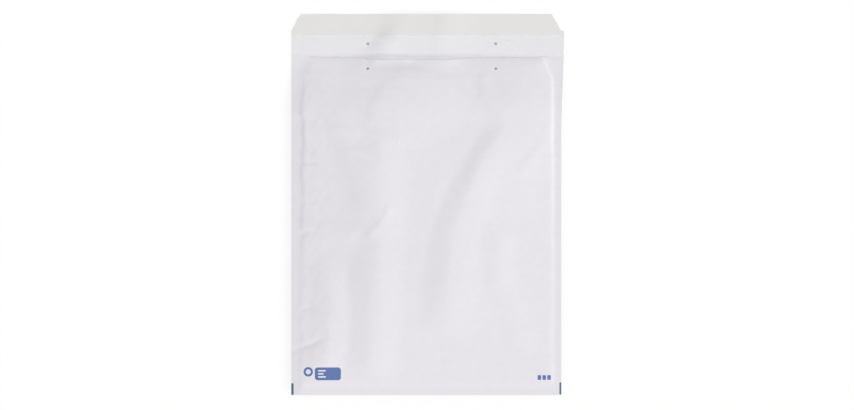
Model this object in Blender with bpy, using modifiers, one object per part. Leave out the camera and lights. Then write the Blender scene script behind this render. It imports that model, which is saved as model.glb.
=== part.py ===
"""Padded mailing envelope, lying on its back with the pocket side up and the flap open.

It is one sheet of paper folded at the bottom, a pouch of bubble film welded into its side seals, a band
of glue on the flap and the siliconed strip that covers the glue. Metres, +Z up, X across the envelope and
+Y towards the flap. The origin is the middle of the footprint, on the surface that the envelope lies on.
"""

import bmesh
import bpy
import numpy as np

# The sheet of paper
BODY_WIDTH = 0.290  # across the two side seals
BODY_HEIGHT = 0.364  # from the bottom fold to the line where the flap folds over
FLAP_HEIGHT = 0.0455
PAPER = 0.0003  # thickness
SHOULDER = 0.0032  # how far the back sheet stands out at the right of the flap
SHOULDER_RUN = 0.113  # length over which the back sheet's right edge runs back to the seal
CORNER_ACROSS = 0.0103  # the flap's cut corners
CORNER_ALONG = 0.0182

# The seals and the padding
SIDE_SEAL = 0.0102
BOTTOM_BAND = 0.0095
FILM = 0.00025  # one ply of film, pressed flat
WELD = 0.0001  # how far the two plies melt into each other in a seal
BUBBLE_HEIGHT = 0.003
POCKET_GAP = 0.0058  # free height between the plies in the middle of the pocket
SEAL_LIFT = 0.0035  # how far the seals float above the middle of the back, which the padding pushes down
CLEARANCE = 0.0003  # between any two pieces that lie on each other

# How fast the padding rises from its edges
EDGE_RUN = 0.014  # bubbles, from a side seal
BOTTOM_RUN = 0.022  # bubbles, from the bottom band
POCKET_RUN = 0.060  # pocket, from a side seal
POCKET_BOTTOM_RUN = 0.090  # pocket, from the bottom band
LIP_RUN = 0.019  # the slope of both plies down to the mouth
LIFT_RUN = 0.045  # length over which the side seals come down to the flap, which lies flat
CORNER_CLOSE = 0.0065  # how far the padding draws in at the two ends of the mouth
SEAL_WANDER = 0.0009  # how far the padding's edge wanders to either side of its seal's line
WANDER_LENGTH = 0.052  # length of one such wave

# The mouth
LIP_BACK = 0.0012  # the front panel ends this far below the flap's fold line
LIP_SAG = 0.0030  # and its middle lies this much lower, because it is lifted

# The flap
STRIP_HEIGHT = 0.0222  # release strip, from the flap's top edge
RELEASE_PAPER = 0.0002
GLUE = 0.0002
GLUE_MARGIN = 0.0035  # glue band, inside the release strip's outline
FILM_STOP = 0.0005  # the film on the flap ends this far below the release strip

# Pin holes, punched with the flap folded over
PIN_DIAMETER = 0.0036
PIN_FROM_FOLD = 0.0135
PINS_ACROSS = (0.0822, 0.2197)  # from the left edge
PIN_SIDES = 12

# Soft folds that the padding takes: start and end as shares of the body's width and height, rise, half width
SOFT_FOLDS = (
    ((0.81, 0.85), (0.50, 0.30), -0.0010, 0.0115),
    ((0.95, 0.88), (0.68, 0.38), 0.0008, 0.0130),
    ((0.39, 0.84), (0.39, 0.18), 0.0008, 0.0140),
    ((0.17, 0.80), (0.29, 0.48), -0.0007, 0.0120),
    ((0.26, 0.42), (0.26, 0.05), -0.0007, 0.0110),
    ((0.43, 0.94), (0.28, 0.82), -0.0006, 0.0100),
    ((0.66, 0.40), (0.80, 0.20), -0.0004, 0.0100),
)
FACET = 0.0140  # size of the facets in the middle of a panel

# Places that follow from the sizes
LEFT = -(BODY_WIDTH + SHOULDER) / 2
RIGHT = LEFT + BODY_WIDTH
BOTTOM = -(BODY_HEIGHT + FLAP_HEIGHT) / 2
FOLD_LINE = BOTTOM + BODY_HEIGHT
TOP = FOLD_LINE + FLAP_HEIGHT
CORNER = TOP - CORNER_ALONG  # foot of the flap's cut corners
MOUTH = FOLD_LINE - LIP_BACK
FOLD_RADIUS = (2 * FILM - WELD + 2 * CLEARANCE) / 2  # inside of the bottom fold
FOLD_CENTRE = BOTTOM + PAPER + FOLD_RADIUS
CUT_HEIGHT = SEAL_LIFT + 3 * BUBBLE_HEIGHT + 2 * POCKET_GAP  # cutters stand higher than the padding

EDGE_STEPS = np.array([0.0, 0.15, 0.36, 0.64, 1.0])
FOLD_STEPS = 4


def clear_scene():
    for old in list(bpy.data.objects):
        bpy.data.objects.remove(old, do_unlink=True)


def collection(name):
    made = bpy.data.collections.new(name)
    bpy.context.scene.collection.children.link(made)
    return made


def material(name, colour, roughness, alpha=1.0, transmission=0.0):
    made = bpy.data.materials.new(name)
    made.use_nodes = True
    made.diffuse_color = (*colour, alpha)
    shader = made.node_tree.nodes["Principled BSDF"]
    shader.inputs["Base Color"].default_value = (*colour, 1.0)
    shader.inputs["Roughness"].default_value = roughness
    shader.inputs["Metallic"].default_value = 0.0
    shader.inputs["Transmission Weight"].default_value = transmission
    return made


def rise(distance, run):
    """0 at a seal and 1 from run onwards, steepest at the seal, as a pillow's edge is."""
    share = np.clip(distance / run, 0.0, 1.0)
    return 1.0 - (1.0 - share) ** 2


def smooth(share):
    """0 below 0, 1 above 1, and an even S between."""
    share = np.clip(share, 0.0, 1.0)
    return share * share * (3 - 2 * share)


def right_edge(y):
    """The back sheet's right edge: on the front sheet's line, then out to the shoulder near the flap."""
    return RIGHT + SHOULDER * smooth(1.0 - (CORNER - y) / SHOULDER_RUN)


def draw_in(y, start):
    """How far the padding's edge lies inside a side seal's line: it wanders, and closes in at the mouth."""
    turn = 2 * np.pi * (y - BOTTOM) / WANDER_LENGTH
    wander = SEAL_WANDER * 0.5 * (np.sin(turn + start) + np.sin(1.7 * turn + 2 * start))
    return wander + CORNER_CLOSE * np.clip(1.0 - (MOUTH - y) / LIP_RUN, 0.0, 1.0) ** 2


def draw_in_left(y):
    return draw_in(y, 0.6)


def draw_in_right(y):
    return draw_in(y, 2.9)


def soft_folds(x, y):
    """Sum of the soft folds: each is a bell across its line that fades out past the line's two ends."""
    total = np.zeros_like(x)
    for (u0, v0), (u1, v1), height, half_width in SOFT_FOLDS:
        start = np.array([LEFT + u0 * BODY_WIDTH, BOTTOM + v0 * BODY_HEIGHT])
        along = np.array([LEFT + u1 * BODY_WIDTH, BOTTOM + v1 * BODY_HEIGHT]) - start
        length = np.hypot(*along)
        share = ((x - start[0]) * along[0] + (y - start[1]) * along[1]) / length**2
        past = np.abs(share - np.clip(share, 0.0, 1.0)) * length
        aside = ((x - start[0]) * along[1] - (y - start[1]) * along[0]) / length
        total += height * np.exp(-(aside**2 + past**2) / half_width**2)
    return total


def edge_distances(x, y):
    """How far a point lies inside the padding's side edges and above the bottom band."""
    left = x - LEFT - draw_in_left(y)
    right = RIGHT - x - draw_in_right(y)
    return np.minimum(left, right) - SIDE_SEAL, y - (BOTTOM + BOTTOM_BAND)


def bubble_rise(x, y):
    side, bottom = edge_distances(x, y)
    return (BUBBLE_HEIGHT - FILM) * rise(side, EDGE_RUN) * rise(bottom, BOTTOM_RUN)


def back_lift(x, y):
    """Height of the back panel's underside: flat in the middle and at the flap, and lifted at the seals."""
    side, bottom = edge_distances(x, y)
    seal = 1.0 - rise(side, EDGE_RUN) * rise(bottom, BOTTOM_RUN)
    return SEAL_LIFT * seal * smooth((FOLD_LINE - y) / LIFT_RUN)


def film_low(x, y):
    """Under side of the back ply, just clear of the paper."""
    return back_lift(x, y) + PAPER + CLEARANCE


def pocket_floor(x, y):
    """Upper side of the back ply. It slopes down to plain film at the flap's fold line."""
    return film_low(x, y) + FILM + bubble_rise(x, y) * rise(FOLD_LINE - y, LIP_RUN)


def pocket_ceiling(x, y):
    """Under side of the front ply. It lies inside the back ply in the seals, where the two are welded."""
    side, bottom = edge_distances(x, y)
    share = rise(side, POCKET_RUN) * rise(bottom, POCKET_BOTTOM_RUN)
    lift = (POCKET_GAP + WELD + soft_folds(x, y)) * share
    return film_low(x, y) + FILM - WELD + bubble_rise(x, y) + lift


def padding_top(x, y):
    return pocket_ceiling(x, y) + FILM + bubble_rise(x, y) * rise(MOUTH - y, LIP_RUN)


def even_steps(start, end):
    """Stations from start to end, about a facet apart."""
    return np.linspace(start, end, max(3, round(abs(end - start) / FACET) + 1))


def lines_across(y, right):
    """X of each grid line at each height: straight outer edges, and lines along the padding's edges."""
    edge = SIDE_SEAL + EDGE_RUN * EDGE_STEPS
    middle = even_steps(edge[-1], BODY_WIDTH - edge[-1])[1:-1]
    places = np.concatenate([[0.0], edge, middle, BODY_WIDTH - edge[::-1], [BODY_WIDTH]])
    # Lines near an edge follow it all the way, and those further in follow it less and less.
    follow = np.interp(places, [0.0, edge[0], edge[-1], SIDE_SEAL + POCKET_RUN], [0.0, 1.0, 1.0, 0.0])
    x = LEFT + places + np.outer(draw_in_left(y), follow) - np.outer(draw_in_right(y), follow[::-1])
    x[:, -1] = right
    return x


def stations_up(beyond):
    """Heights up a panel from the bottom fold's centre, close together at the band and at the mouth."""
    band = BOTTOM + BOTTOM_BAND + BOTTOM_RUN * EDGE_STEPS
    slope = MOUTH - LIP_RUN * EDGE_STEPS[::-1]
    middle = even_steps(band[-1], slope[0])[1:-1]
    return np.concatenate([[FOLD_CENTRE], band, middle, slope, beyond])


def back_grid(beyond):
    """X and Y of the back sheet's grid, up to and past the mouth."""
    y = stations_up(beyond)
    x = lines_across(y, right_edge(y))
    return x, np.repeat(y[:, None], x.shape[1], axis=1)


def front_grid():
    """X and Y of the front panel's grid, up to the mouth, before its lip is drawn back."""
    y = stations_up([])
    x = lines_across(y, RIGHT)
    return x, np.repeat(y[:, None], x.shape[1], axis=1)


def lip_sag(x, y):
    """How far the lifted front panel is drawn back from the mouth, all of it at the lip's middle."""
    across = 1.0 - ((x - (LEFT + RIGHT) / 2) / (BODY_WIDTH / 2)) ** 2
    return LIP_SAG * across * np.clip(1.0 - (MOUTH - y) / POCKET_BOTTOM_RUN, 0.0, 1.0) ** 2


def grid_mesh(columns, rows):
    """A flat grid, with the column and the row of each of its points."""
    grid = bmesh.new()
    bmesh.ops.create_grid(grid, x_segments=columns - 1, y_segments=rows - 1, size=0.5)
    places = np.array([point.co[:2] for point in grid.verts]) + 0.5
    index = np.rint(places * (columns - 1, rows - 1)).astype(int)
    return grid, index[:, 0], index[:, 1]


def place(points, x, y, z):
    for point, *where in zip(points, x, y, z):
        point.co = where


def finish(grid, name, home, finish_material=None):
    bmesh.ops.recalc_face_normals(grid, faces=grid.faces)
    mesh = bpy.data.meshes.new(name)
    grid.to_mesh(mesh)
    grid.free()
    made = bpy.data.objects.new(name, mesh)
    home.objects.link(made)
    if finish_material:
        mesh.materials.append(finish_material)
    return made


def slab(name, home, x, y, low, high, finish_material=None):
    """A closed slab between two surfaces, both given on the same grid of rows and columns."""
    grid, column, row = grid_mesh(x.shape[1], x.shape[0])
    lower = list(grid.verts)
    extruded = bmesh.ops.extrude_face_region(grid, geom=list(grid.faces))["geom"]
    raised = [item for item in extruded if isinstance(item, bmesh.types.BMVert)]
    places = np.array([point.co[:2] for point in raised]) + 0.5
    index = np.rint(places * (x.shape[1] - 1, x.shape[0] - 1)).astype(int)
    place(lower, x[row, column], y[row, column], low[row, column])
    column, row = index.T
    place(raised, x[row, column], y[row, column], high[row, column])
    return finish(grid, name, home, finish_material)


def boolean(target, cutter, operation):
    modifier = target.modifiers.new(cutter.name, "BOOLEAN")
    modifier.operation = operation
    modifier.solver = "EXACT"
    modifier.object = cutter


def helper(cutter):
    cutter.hide_render = True
    cutter.display_type = "WIRE"
    return cutter


def outer_paper(home, cutters, finish_material):
    """The sheet's inner face, from the flap's edge down the back, round the fold and up the front."""
    back_x, back_y = back_grid([FOLD_LINE, CORNER, TOP])
    back_z = PAPER + back_lift(back_x, back_y)
    front_x, front_y = front_grid()
    front_z = padding_top(front_x, front_y) + CLEARANCE
    front_y = front_y - lip_sag(front_x, front_y)
    turn = np.linspace(0.0, np.pi, FOLD_STEPS + 1)[1:-1, None]
    ones = np.ones(front_x.shape[1])
    fold_x = np.ones_like(turn) * front_x[0]
    fold_y = (FOLD_CENTRE - FOLD_RADIUS * np.sin(turn)) * ones
    fold_z = (back_z[0, 0] + FOLD_RADIUS * (1 - np.cos(turn))) * ones

    x = np.concatenate([back_x[::-1], fold_x, front_x])
    y = np.concatenate([back_y[::-1], fold_y, front_y])
    z = np.concatenate([back_z[::-1], fold_z, front_z])
    grid, column, row = grid_mesh(x.shape[1], x.shape[0])
    place(grid.verts, x[row, column], y[row, column], z[row, column])
    mesh = bpy.data.meshes.new("outer_paper")
    grid.to_mesh(mesh)
    grid.free()
    mesh.materials.append(finish_material)
    sheet = bpy.data.objects.new("outer_paper", mesh)
    home.objects.link(sheet)
    thick = sheet.modifiers.new("paper", "SOLIDIFY")
    thick.thickness = PAPER
    thick.offset = 1.0
    thick.use_even_offset = True
    thick.use_quality_normals = True
    boolean(sheet, cutters["corners"], "DIFFERENCE")
    boolean(sheet, cutters["pins"], "DIFFERENCE")
    return sheet


def bubble_liner(home, spare, cutters, finish_material):
    """Two plies, welded where they overlap in the seals. The back ply runs on over the flap as plain film."""
    x, y = back_grid([FOLD_LINE, TOP - STRIP_HEIGHT - FILM_STOP])
    ply = slab("bubble_liner", home, x, y, film_low(x, y), pocket_floor(x, y), finish_material)
    x, y = front_grid()
    drawn_back = y - lip_sag(x, y)
    front = slab("front_ply", spare, x, drawn_back, pocket_ceiling(x, y), padding_top(x, y))
    boolean(ply, helper(front), "UNION")
    boolean(ply, cutters["pins"], "DIFFERENCE")
    return ply


def flap_band(name, home, span, inset, underside, thickness, corners, finish_material):
    """A flat band across the flap between two heights, drawn in at its ends, with the flap's cut corners."""
    y = np.outer(np.linspace(*span, 4), np.ones(2))
    width = right_edge(y) - LEFT - 2 * inset
    x = LEFT + inset + width * np.array([0.0, 1.0])
    low = np.full_like(x, underside)
    made = slab(name, home, x, y, low, low + thickness, finish_material)
    boolean(made, corners, "DIFFERENCE")
    return made


def prism(grid, outline):
    """A closed prism over the outline, from below the envelope to above it."""
    face = grid.faces.new([grid.verts.new((x, y, -CUT_HEIGHT)) for x, y in outline])
    raised = bmesh.ops.extrude_face_region(grid, geom=[face])["geom"]
    for item in raised:
        if isinstance(item, bmesh.types.BMVert):
            item.co.z = CUT_HEIGHT


def corner_cutter(spare, name, inset):
    """Takes the flap's two corners off, drawn in by inset. At the right it leaves the shoulder below the cut."""
    grid = bmesh.new()
    lean = CORNER_ACROSS / CORNER_ALONG
    slant = inset * np.hypot(1.0, lean)
    far = SHOULDER + CORNER_ACROSS
    left_foot = LEFT + slant
    right_foot = RIGHT - slant
    prism(grid, [
        (left_foot - lean * far, CORNER - far),
        (left_foot + CORNER_ACROSS + lean * far, TOP + far),
        (left_foot - lean * far, TOP + far),
    ])
    prism(grid, [
        (right_foot + lean * inset, CORNER - inset),
        (RIGHT + far, CORNER - inset),
        (RIGHT + far, TOP + far),
        (right_foot - CORNER_ACROSS - lean * far, TOP + far),
    ])
    return helper(finish(grid, name, spare))


def pin_punch(spare):
    """Four pins: two through the padded body and two through the flap, as far from the fold line."""
    grid = bmesh.new()
    for across in PINS_ACROSS:
        for from_fold in (-PIN_FROM_FOLD, PIN_FROM_FOLD):
            made = bmesh.ops.create_cone(
                grid, cap_ends=True, segments=PIN_SIDES,
                radius1=PIN_DIAMETER / 2, radius2=PIN_DIAMETER / 2, depth=2 * CUT_HEIGHT,
            )
            bmesh.ops.translate(grid, verts=made["verts"], vec=(LEFT + across, FOLD_LINE + from_fold, 0.0))
    return helper(finish(grid, "pin_punch", spare))


def build():
    clear_scene()
    parts = collection("padded_envelope")
    spare = collection("cutters")
    white_paper = material("white_kraft_paper", (0.80, 0.79, 0.81), 0.62)
    film = material("clear_bubble_film", (0.86, 0.88, 0.90), 0.22, transmission=0.7)
    siliconed = material("siliconed_release_paper", (0.79, 0.78, 0.76), 0.35)
    glue = material("clear_hot_melt_glue", (0.80, 0.76, 0.66), 0.15, transmission=0.4)

    cutters = {
        "corners": corner_cutter(spare, "corner_cutter", 0.0),
        "glue_corners": corner_cutter(spare, "glue_corner_cutter", GLUE_MARGIN),
        "pins": pin_punch(spare),
    }
    outer_paper(parts, cutters, white_paper)
    bubble_liner(parts, spare, cutters, film)
    strip_low = TOP - STRIP_HEIGHT
    flap_band(
        "adhesive_strip", parts, (strip_low + GLUE_MARGIN, TOP - GLUE_MARGIN), GLUE_MARGIN,
        PAPER + CLEARANCE, GLUE, cutters["glue_corners"], glue,
    )
    flap_band(
        "release_strip", parts, (strip_low, TOP), 0.0,
        PAPER + GLUE + 2 * CLEARANCE, RELEASE_PAPER, cutters["corners"], siliconed,
    )


build()
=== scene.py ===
"""Padded mailing envelope, seen from straight above: white kraft paper over a pouch of bubble film.

The sections follow the envelope as it is made: the sheet of paper with its print, the bubble film, the
glue, the release strip, then the floor, the light and the camera. Metres, +Z up, +Y towards the flap.
"""

import bpy
import numpy as np
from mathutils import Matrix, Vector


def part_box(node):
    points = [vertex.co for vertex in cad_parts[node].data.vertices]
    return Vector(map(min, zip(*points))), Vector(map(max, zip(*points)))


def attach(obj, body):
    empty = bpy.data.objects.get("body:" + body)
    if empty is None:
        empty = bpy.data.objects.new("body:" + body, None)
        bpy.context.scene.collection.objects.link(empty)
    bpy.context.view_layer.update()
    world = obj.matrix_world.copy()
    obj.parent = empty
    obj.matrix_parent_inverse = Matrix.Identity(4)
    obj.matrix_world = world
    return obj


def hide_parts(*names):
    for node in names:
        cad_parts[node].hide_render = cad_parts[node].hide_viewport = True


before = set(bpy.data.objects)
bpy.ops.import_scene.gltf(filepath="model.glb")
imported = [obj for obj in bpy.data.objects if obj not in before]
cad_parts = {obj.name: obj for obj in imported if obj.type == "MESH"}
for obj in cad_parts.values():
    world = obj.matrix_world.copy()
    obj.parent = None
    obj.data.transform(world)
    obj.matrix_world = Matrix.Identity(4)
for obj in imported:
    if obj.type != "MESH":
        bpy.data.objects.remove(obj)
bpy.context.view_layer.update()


# The sheet of paper. It is white kraft paper, folded once at the bottom. Its two sides are pressed and welded
# into seals, the padding lifts both panels between them, and its upper end is the open flap with two cut
# corners.
paper_low, paper_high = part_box("outer_paper")
LEFT, BOTTOM, TOP = paper_low.x, paper_low.y, paper_high.y
WIDTH = 0.290  # across the two side seals
HEIGHT = 0.364  # from the bottom fold to the flap's fold line
RIGHT = LEFT + WIDTH
FOLD_LINE = BOTTOM + HEIGHT
SHOULDER = 0.0032  # the back panel stands this far out at the right, just below the flap's cut corner
SHOULDER_RUN = 0.113  # and grows out over this height
CORNER = TOP - 0.0182  # foot of the cut corners
CORNER_ACROSS = 0.0103  # how far they cut in along the flap's top edge
CORNER_STEP = 0.0003  # the shoulder steps back to the cut over this height
MOUTH = FOLD_LINE - 0.0012  # the front panel's top edge, before its own ups and downs
PAPER = 0.00014
FILM = 0.00008  # one ply, without its bubbles
PRESSED = 0.00002  # gap between layers that lie on each other
SIDE_SEAL = 0.0102
BOTTOM_BAND = 0.0095
SEAL_LIFT = 0.0046  # the seals float this far above the floor
STACK = PAPER + 2 * FILM + 3 * PRESSED + PAPER  # thickness of a seal
PILLOW = 0.0061  # rise of the front panel from its seals to its middle, without its folds
EDGE_STEP = 0.00020  # small step up at the padding's bottom edge
EDGE_STEP_RUN = 0.0050  # each step climbs over this length
STEP_FADE = 0.090  # and fades over this one
BACK_RUN = 0.030  # the back panel comes down from the seals to the floor over this length
PIN_HOLE = 0.0006  # half width of a pin hole, which the padded paper half closes again
PINS = [(LEFT + across, FOLD_LINE + up) for across in (0.0822, 0.2197) for up in (-0.0135, 0.0135)]


def rise(distance, run, power=2.0):
    """0 at the start and 1 from run onwards: one less a power of what is left, steepest at the start."""
    share = np.clip(distance / run, 0.0, 1.0)
    return 1.0 - (1.0 - share) ** power


def smooth(share):
    """0 below 0, 1 above 1, and an even S between."""
    share = np.clip(share, 0.0, 1.0)
    return share * share * (3.0 - 2.0 * share)


def waves(x, y, length, seed):
    """Irregular waves, each about one length long: a sum of six sines in directions drawn by the seed."""
    draw = np.random.default_rng(seed)
    total = np.zeros(np.shape(x))
    for _ in range(6):
        angle, phase, stretch = draw.uniform((0.0, 0.0, 0.7), (2 * np.pi, 2 * np.pi, 1.4))
        total += np.sin(2 * np.pi * (x * np.cos(angle) + y * np.sin(angle)) / (length * stretch) + phase)
    return total / 6**0.5


def sheet_left(y):
    """The left edge: straight, then slanting in along the flap's cut corner."""
    return LEFT + CORNER_ACROSS * np.clip((y - CORNER) / (TOP - CORNER), 0.0, 1.0)


def sheet_right(y):
    """The back panel's right edge: out to the shoulder near the flap, then in along the cut corner."""
    past = y > CORNER + CORNER_STEP / 2
    shoulder = np.where(past, 0.0, SHOULDER * smooth(1.0 - (CORNER - y) / SHOULDER_RUN))
    return RIGHT + shoulder - CORNER_ACROSS * np.clip((y - CORNER) / (TOP - CORNER), 0.0, 1.0)


# Bulges of the padding's left edge: millimetres above the bottom, and how far in they reach, in metres.
BULGES = ((165, 171, 176, 192, 245, 250, 284, 290, 301), (0, 9e-4, 2e-4, 7e-4, 3e-4, 12e-4, 9e-4, 16e-4, 0))


def padding_edges(y):
    """How far the padding's two edges lie inside the seals' lines: a long and a short wave for each edge.

    Both close in at the mouth, by a power of the share of the last 20 mm, or 26 mm at the right."""
    up = (y - BOTTOM) * 1000.0
    close_left = 0.0115 * np.clip(1.0 - (MOUTH - y) / 0.020, 0.0, 1.0) ** 2
    close_right = 0.0107 * np.clip(1.0 - (MOUTH - y) / 0.026, 0.0, 1.0) ** 1.15 - 0.0023
    left = waves(up, 0.0 * up, 47.0, 3) * 0.00055 + waves(up, 0.0 * up, 17.0, 4) * 0.0003
    right = waves(up, 0.0 * up, 60.0, 7) * 0.0007 + waves(up, 0.0 * up, 14.0, 8) * 0.0003
    left = left + np.interp(up, *BULGES)
    return left + close_left, right + close_right


def inside(x, y):
    """Distances of a point inside the padding's left, right and bottom edges, and below the mouth."""
    left_in, right_in = padding_edges(y)
    left, right = x - LEFT - left_in - SIDE_SEAL, RIGHT - right_in - SIDE_SEAL - x
    return left, right, y - BOTTOM - BOTTOM_BAND, MOUTH - y


def line_distance(x, y, line):
    """Distance of each point from a line through the given places, negative on the right of its course.

    Places are millimetres from the envelope's lower left corner. The nearest straight piece counts. The
    second result is the share of the way along the line."""
    places = np.array(line) / 1000.0 + (LEFT, BOTTOM)
    steps = np.diff(places, axis=0)
    lengths = np.hypot(*steps.T)
    marks = np.concatenate([[0.0], np.cumsum(lengths)]) / lengths.sum()
    nearest, share, side = np.full(x.shape, np.inf), np.zeros(x.shape), np.ones(x.shape)
    for start, step, length, first, last in zip(places, steps, lengths, marks, marks[1:]):
        off_x, off_y = x - start[0], y - start[1]
        part = np.clip((off_x * step[0] + off_y * step[1]) / length**2, 0.0, 1.0)
        distance = np.hypot(off_x - part * step[0], off_y - part * step[1])
        share = np.where(distance < nearest, first + part * (last - first), share)
        side = np.where(distance < nearest, np.sign(step[0] * off_y - step[1] * off_x), side)
        nearest = np.minimum(distance, nearest)
    return nearest * side, share


RUN_OUT = 0.2  # share of a ridge's line over which it runs out, at either end


def ridges(x, y, lines):
    """Sum of the ridges: each falls off in an S on either side of its line, and runs out at both ends.

    Each side's width changes evenly from the line's start to its end."""
    total = np.zeros(x.shape)
    for height, left_width, right_width, line in lines:
        distance, share = line_distance(x, y, line)
        left, right = (first + (last - first) * share for first, last in (left_width, right_width))
        crest = height * (1.0 - smooth(abs(distance) / np.where(distance < 0, left, right)))
        total += crest * smooth(share / RUN_OUT) * smooth((1.0 - share) / RUN_OUT)
    return total


def creases(x, y, lines):
    """Sum of the creases: each falls off exponentially on both sides of its line. A negative one is a groove.

    Along its line it is as high as the square root of half a sine wave."""
    total = np.zeros(x.shape)
    for height, half_width, line in lines:
        distance, share = line_distance(x, y, line)
        total += height * np.exp(-abs(distance) / half_width) * np.sin(np.pi * share) ** 0.5
    return total


# Each soft ridge that the padding pushes up: its height, how far it spreads to the left or below at its
# line's start and end, how far to the right or above, all in metres, and its line, which runs down or to the
# right. A slope that faces left looks darker, and one that faces right looks brighter.
DIAGONAL = (
    (247, 310), (240, 304), (233, 291), (225, 278), (214, 263), (205, 247), (199, 231), (190, 215),
    (184, 199), (178, 182), (175, 166), (174, 150), (173, 134), (171, 118), (170, 102), (168, 81), (165, 50),
)
SOFT_RIDGES = (
    (0.0017, (0.017, 0.040), (0.075, 0.100), DIAGONAL),
    (0.0010, (0.017, 0.040), (0.028, 0.040), DIAGONAL[2:]),
    (0.0011, (0.055, 0.055), (0.110, 0.110),
     ((262, 340), (246, 318), (228, 290), (210, 262), (196, 236), (184, 205))),
    (0.0027, (0.095, 0.070), (0.100, 0.050),
     ((152, 364), (140, 346), (130, 334), (124, 322), (116, 308), (104, 294), (95, 280), (92, 262))),
    (0.0022, (0.056, 0.046), (0.040, 0.034), ((92, 286), (94, 268), (95, 240), (95, 200), (94, 160))),
    (0.0020, (0.034, 0.028), (0.036, 0.034),
     ((95, 190), (91, 150), (89, 118), (89, 80), (88, 40), (90, 2))),
    (0.0008, (0.020, 0.020), (0.024, 0.024),
     ((44, 316), (52, 290), (58, 270), (66, 248), (75, 232), (77, 215), (80, 198), (84, 180))),
    (0.0005, (0.012, 0.012), (0.024, 0.024),
     ((128, 350), (121, 341), (106, 333), (97, 323), (90, 306), (88, 285))),
    (0.0014, (0.029, 0.029), (0.026, 0.026),
     ((34, 156), (38, 130), (42, 104), (40, 70), (34, 38), (29, 5))),
    (0.0003, (0.008, 0.008), (0.014, 0.014),
     ((284, 305), (278, 290), (267, 268), (252, 247), (240, 230))),
    (0.0009, (0.020, 0.020), (0.024, 0.024),
     ((224, 192), (222, 150), (222, 118), (231, 102), (239, 81), (248, 59), (256, 40))),
    (0.00045, (0.0050, 0.0050), (0.0100, 0.0100),
     ((106, 208), (104, 201), (101, 193), (96, 186), (86, 175), (78, 168))),
    (0.0004, (0.009, 0.009), (0.014, 0.014),
     ((206, 352), (207, 338), (207, 323), (215, 313), (224, 303), (232, 290))),
    (0.0009, (0.024, 0.024), (0.014, 0.014), ((2, 177), (25, 177), (50, 175), (76, 169))),
)
# Each sharp crease: its height, the distance over which it falls to about a third, in metres, and its line.
SHARP_CREASES = (
    (0.00024, 0.0018, ((112, 311), (112.5, 295), (113, 280))),
    (0.00024, 0.0018, ((116, 311), (116, 292), (118, 272))),
    (-0.00120, 0.0022, ((-12, 41), (0, 46.5), (10, 50.5), (23, 55), (32, 60), (40, 63))),
    (-0.00080, 0.0020, ((-8, 92.5), (10, 92.5), (24, 92.5))),
    (-0.00090, 0.0022, ((2, 298), (14, 296), (27, 293))),
    (-0.00085, 0.0022, ((2, 251), (18, 248), (28, 250))),
    (-0.00085, 0.0022, ((2, 171), (20, 176), (34, 172))),
    (-0.00070, 0.0020, ((6, 268), (16, 264), (24, 259))),
    (-0.00070, 0.0020, ((6, 205), (15, 208), (26, 207))),
    (0.00045, 0.0020, ((264, 214), (272, 210), (281, 212))),
    (-0.00025, 0.0020, ((159, 20), (160, 40), (158, 60))),
)


def panel_share(x, y):
    """1 on the padded panel and 0 on the seals, with an S of 5 mm between."""
    left, right, bottom, _ = inside(x, y)
    return smooth(0.5 + np.minimum(np.minimum(left, right), bottom) / 0.005)


def crumple(x, y):
    """The folds of the front panel: soft ridges, sharp creases, and a faint unevenness of irregular waves.

    Waves of 34 and 13 mm run all over it, and of 12 mm within 40 mm of the left seal. Ridges and waves grow
    with the room that the padding has away from the seals."""
    left, right, bottom, _ = inside(x, y)
    room = rise(np.minimum(left, right), 0.030) * rise(bottom, 0.035)
    uneven = 0.00009 * waves(x, y, 0.034, 11) + 0.00003 * waves(x, y, 0.013, 12)
    near_left = np.clip(1.0 - left / 0.040, 0.0, 1.0) * (left > 0.0)
    uneven = (uneven + 0.00015 * near_left * waves(x, y, 0.012, 13)) * (0.25 + 0.75 * room)
    soft = ridges(x, y, SOFT_RIDGES) * (0.15 + 0.85 * room) + uneven
    return (soft + creases(x, y, SHARP_CREASES)) * panel_share(x, y)


def seal_base(x, y):
    """Height of a seal's underside. The seals float, droop a little outwards, and sink to the flap in an S.

    The lowest crease goes through all layers of the left seal, and the others only mark it."""
    left, right, _, _ = inside(x, y)
    droop = 0.11 * np.clip(-left, 0.0, None) - 0.02 * np.clip(-right, 0.0, None)
    through = np.interp(y - BOTTOM, (0.066, 0.080), (0.6, 0.12))
    creased = through * creases(x, y, SHARP_CREASES) * (1.0 - panel_share(x, y))
    return (SEAL_LIFT - droop + creased) * smooth((FOLD_LINE - y) / 0.062)


# The flap's own soft ridges, written as the front panel's are. The last three are creases in its film.
FLAP_RIDGES = (
    (0.0020, (0.030, 0.030), (0.110, 0.110),
     ((121, 440), (121, 404), (119, 393), (116, 383), (112, 374), (108, 364), (106, 350))),
    (0.0005, (0.014, 0.014), (0.024, 0.024),
     ((110, 400), (106, 386), (100, 378), (95, 370), (95, 360), (95, 350))),
    (0.0007, (0.014, 0.014), (0.040, 0.040),
     ((167, 440), (166, 412), (163, 398), (163, 386), (158, 372), (160, 350))),
    (0.00030, (0.0032, 0.0032), (0.014, 0.014),
     ((106, 390), (101, 387), (91, 380), (82, 371), (79, 368))),
    (0.00034, (0.0032, 0.0032), (0.014, 0.014),
     ((115, 389), (109, 386), (99, 380), (90, 372), (87, 369))),
    (0.00024, (0.0032, 0.0032), (0.014, 0.014),
     ((122, 385), (116, 382), (107, 378), (99, 371), (97, 368))),
)


def flap_waves(x, y):
    """Height of the open flap above the floor: its ridges, a quarter millimetre, and faint 45 mm waves."""
    return ridges(x, y, FLAP_RIDGES) + 0.00025 + 0.00012 * waves(x, y, 0.045, 21)


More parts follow.
